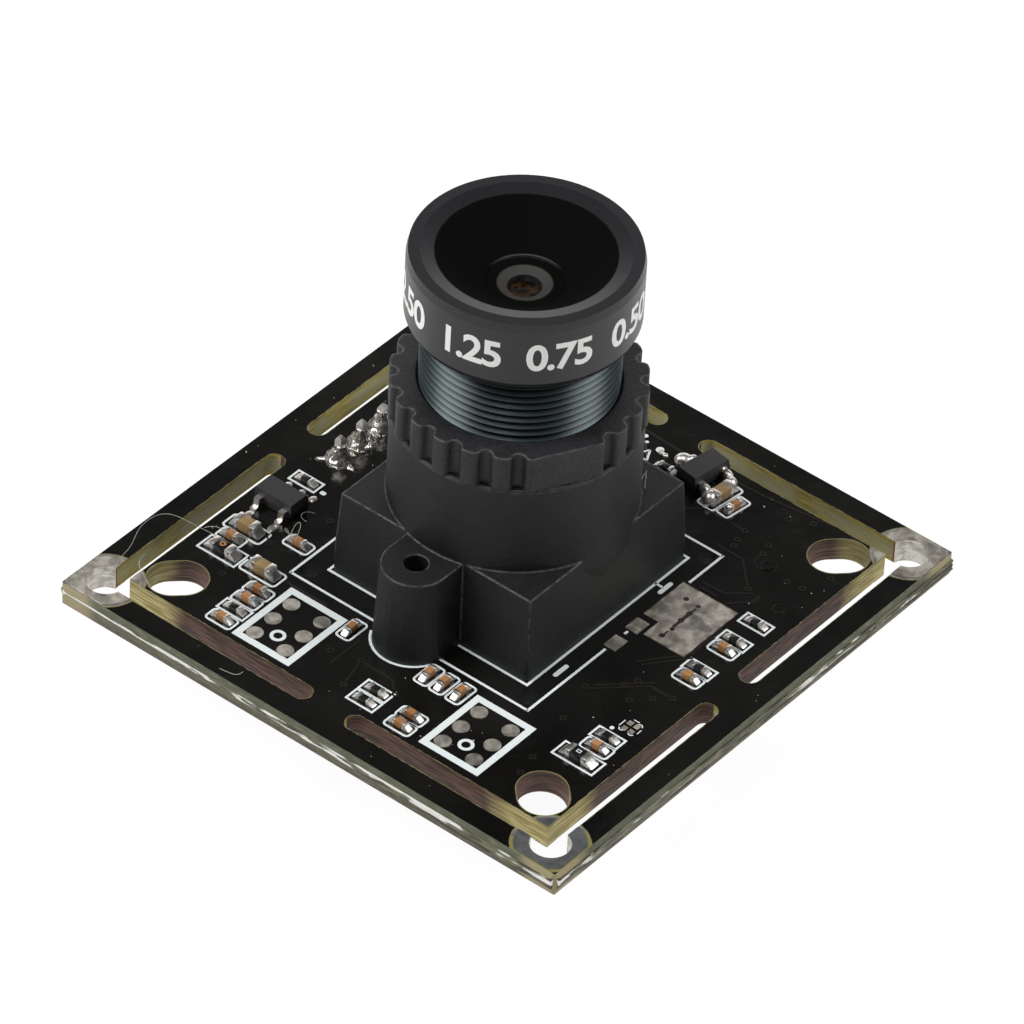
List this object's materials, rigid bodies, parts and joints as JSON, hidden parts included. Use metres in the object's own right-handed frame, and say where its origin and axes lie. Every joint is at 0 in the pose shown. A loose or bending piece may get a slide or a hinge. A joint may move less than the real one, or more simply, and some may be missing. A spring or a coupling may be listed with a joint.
{
  "type": "camera module",
  "caption": "Square board camera: threaded lens with lock ring in a moulded holder, on a black circuit board with snap-off rails, corner holes and a wire header below.",
  "frame": {"origin": "centre of the board's outline on its underside", "axes": "+Z out of the lens, at right angles to the board; X and Y along the board's sides, the two screw ears lie along X"},
  "size_m": [0.038, 0.038, 0.0308],
  "materials": {
    "board_mask": "glossy black solder mask over glass-fibre laminate",
    "tinned_copper": "dull mottled tin",
    "holder_plastic": "fine matt moulded plastic",
    "screw_steel": "plated steel",
    "ring_plastic": "fine matt moulded plastic, edges rubbed paler",
    "barrel_anodised": "satin black anodised",
    "front_glass": "coated glass, amber reflection",
    "inner_glass": "clear polished glass",
    "filter_glass": "interference coating, pink reflection",
    "black_parts": "matt black",
    "sensor_ceramic": "dark ceramic",
    "chip_plastic": "fine-grained moulding compound",
    "bright_tin": "bright solder",
    "small_ceramic": "sintered ceramic",
    "large_ceramic": "sintered ceramic",
    "resistor_black": "glazed black",
    "indicator_black": "glazed black",
    "header_plastic": "natural nylon",
    "crystal_metal": "drawn metal can"
  },
  "bodies": {
    "root": {"circuit_board": "board_mask", "plated_rings": "tinned_copper", "solder_pads": "tinned_copper", "lens_holder": "holder_plastic", "holder_screws": "screw_steel", "ir_cut_filter": "filter_glass", "image_sensor": "sensor_ceramic", "sensor_cover_glass": "inner_glass", "regulator_bodies": "chip_plastic", "regulator_leads": "bright_tin", "small_capacitor_bodies": "small_ceramic", "small_capacitor_ends": "bright_tin", "large_capacitor_bodies": "large_ceramic", "large_capacitor_ends": "bright_tin", "resistor_bodies": "resistor_black", "resistor_ends": "bright_tin", "indicator_bodies": "indicator_black", "indicator_ends": "bright_tin", "header_pins": "bright_tin", "header_housing": "header_plastic", "pin_solder": "bright_tin", "processor_body": "chip_plastic", "processor_leads": "bright_tin", "memory_body": "chip_plastic", "memory_leads": "bright_tin", "crystal_can": "crystal_metal"},
    "lens_optics": {"front_lens": "front_glass", "aperture_stop": "black_parts", "middle_lens": "inner_glass", "lens_spacer": "black_parts", "rear_lens": "inner_glass", "rear_retaining_ring": "black_parts"},
    "lens_barrel": {"lens_barrel": "barrel_anodised"},
    "lock_ring": {"lock_ring": "ring_plastic"}
  },
  "joints": [
    {"name": "focus_travel", "type": "slide", "parent": "root", "child": "lens_optics", "axis": [0, 0, 1], "range_m": [-0.00075, 0.0015]},
    {"name": "focus_turn", "type": "hinge", "parent": "lens_optics", "child": "lens_barrel", "pos_m": [0.0002, 0.0002, 0.01], "axis": [0, 0, 1], "range_deg": [-540, 1080]},
    {"name": "lock_turn", "type": "hinge", "parent": "root", "child": "lock_ring", "pos_m": [0.0002, 0.0002, 0.0138], "axis": [0, 0, 1], "range_deg": [0, 90]}
  ],
  "couplings": [
    {"joint": "focus_travel", "follows": "focus_turn", "m_per_rad": 0.000079577}
  ]
}
